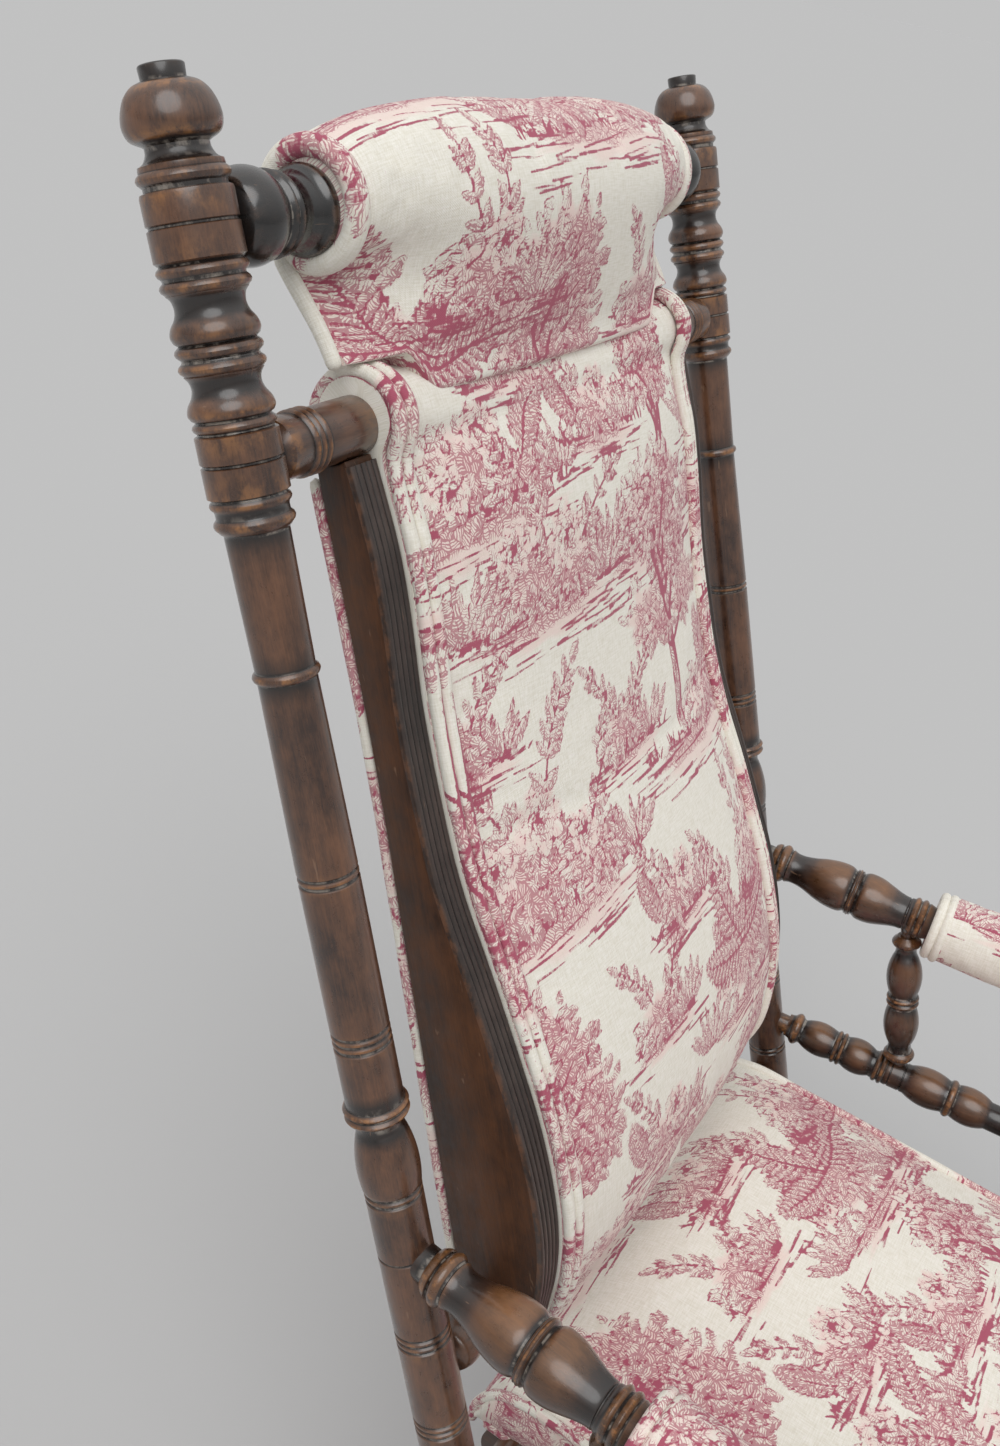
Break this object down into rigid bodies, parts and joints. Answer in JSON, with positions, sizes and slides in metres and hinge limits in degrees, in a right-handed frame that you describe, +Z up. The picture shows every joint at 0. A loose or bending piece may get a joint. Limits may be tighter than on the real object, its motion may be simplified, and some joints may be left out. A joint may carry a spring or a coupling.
{
  "type": "boston rocking chair",
  "caption": "High-back rocking armchair on a stationary base, with turned posts and rails, reeded side boards, upholstered scroll back, arms and seat, and coil springs.",
  "frame": {"origin": "on the floor, at the middle of the whole chair's plan box", "axes": "+Z up, the chair faces -Y, +X towards the sitter's left"},
  "size_m": [0.6594, 0.8816, 1.1425],
  "materials": {
    "stained_wood": "satin",
    "ebonised_wood": "satin",
    "printed_linen": "matt",
    "webbing": "matt",
    "cast_iron": "matt",
    "spring_steel": "satin",
    "steel_screws": "satin"
  },
  "bodies": {
    "base": {"base_cross_rail_front": "stained_wood", "base_cross_rail_rear": "stained_wood", "base_foot_front_left": "stained_wood", "base_foot_front_right": "stained_wood", "base_foot_rear_left": "stained_wood", "base_foot_rear_right": "stained_wood", "base_rail_left": "stained_wood", "base_rail_right": "stained_wood", "lower_bracket_screws_left": "steel_screws", "lower_bracket_screws_right": "steel_screws", "lower_spring_bracket_left": "cast_iron", "lower_spring_bracket_right": "cast_iron", "rocker_springs_left": "spring_steel", "rocker_springs_right": "spring_steel"},
    "chair": {"arm_pad_left": "printed_linen", "arm_pad_right": "printed_linen", "arm_rail_left": "stained_wood", "arm_rail_right": "stained_wood", "back_cover": "printed_linen", "back_lower_rail": "stained_wood", "back_pad": "printed_linen", "back_post_left": "stained_wood", "back_post_right": "stained_wood", "back_side_board_left": "stained_wood", "back_side_board_right": "stained_wood", "back_upper_rail": "stained_wood", "crest_rail": "ebonised_wood", "front_arm_spindle_left": "stained_wood", "front_arm_spindle_right": "stained_wood", "front_post_left": "stained_wood", "front_post_right": "stained_wood", "front_stretcher": "stained_wood", "headrest_pad": "printed_linen", "rear_arm_spindle_left": "stained_wood", "rear_arm_spindle_right": "stained_wood", "rear_stretcher": "stained_wood", "rocker_left": "stained_wood", "rocker_right": "stained_wood", "seat_front_rail": "stained_wood", "seat_pad": "printed_linen", "seat_rear_rail": "stained_wood", "seat_side_board_left": "stained_wood", "seat_side_board_right": "stained_wood", "seat_webbing": "webbing", "side_rail_left": "stained_wood", "side_rail_right": "stained_wood", "side_stretcher_left": "stained_wood", "side_stretcher_right": "stained_wood", "upper_bracket_screws_left": "steel_screws", "upper_bracket_screws_right": "steel_screws", "upper_spring_bracket_left": "cast_iron", "upper_spring_bracket_right": "cast_iron"}
  },
  "joints": [
    {"name": "rock", "type": "hinge", "parent": "base", "child": "chair", "pos_m": [0, -0.1379, 0.118], "axis": [1, 0, 0], "range_deg": [-6.5, 6.5], "stiffness_Nm_per_rad": 420, "springref_deg": 3.75, "deforming": ["rocker_springs_left", "rocker_springs_right"]}
  ]
}
